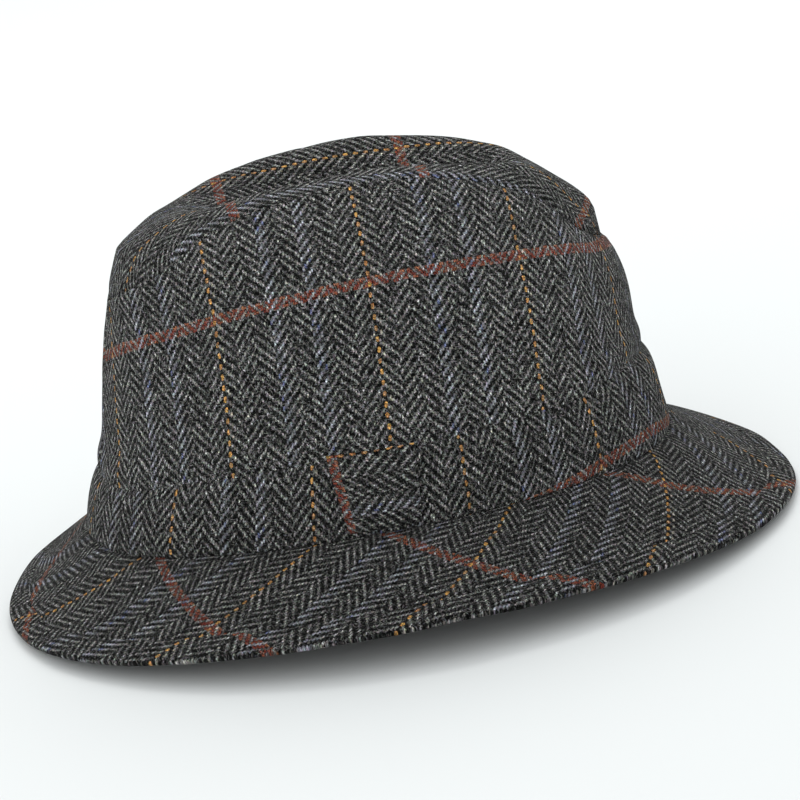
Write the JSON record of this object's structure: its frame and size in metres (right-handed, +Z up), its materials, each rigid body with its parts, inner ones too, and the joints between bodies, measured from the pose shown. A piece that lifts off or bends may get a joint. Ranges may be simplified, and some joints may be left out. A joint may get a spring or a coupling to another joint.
{
  "type": "trilby",
  "caption": "Soft cut-and-sewn trilby of herringbone wool, with a centre dent, a self band with a flat tab, and a sloping stitched brim.",
  "frame": {"origin": "on the surface the hat stands on, at the middle of the brim's footprint", "axes": "+Z up through the crown; -Y towards the front of the hat; +X towards the wearer's left, where the tab is"},
  "size_m": [0.2506, 0.287, 0.1456],
  "materials": {
    "crown_cloth": "brushed herringbone wool",
    "band_cloth": "brushed herringbone wool",
    "brim_cloth": "brushed herringbone wool, cut on the bias"
  },
  "bodies": {
    "root": {"crown_side_left": "crown_cloth", "crown_side_right": "crown_cloth", "crown_tip": "crown_cloth", "hat_band": "band_cloth", "band_tab": "band_cloth", "brim": "brim_cloth"}
  },
  "joints": []
}
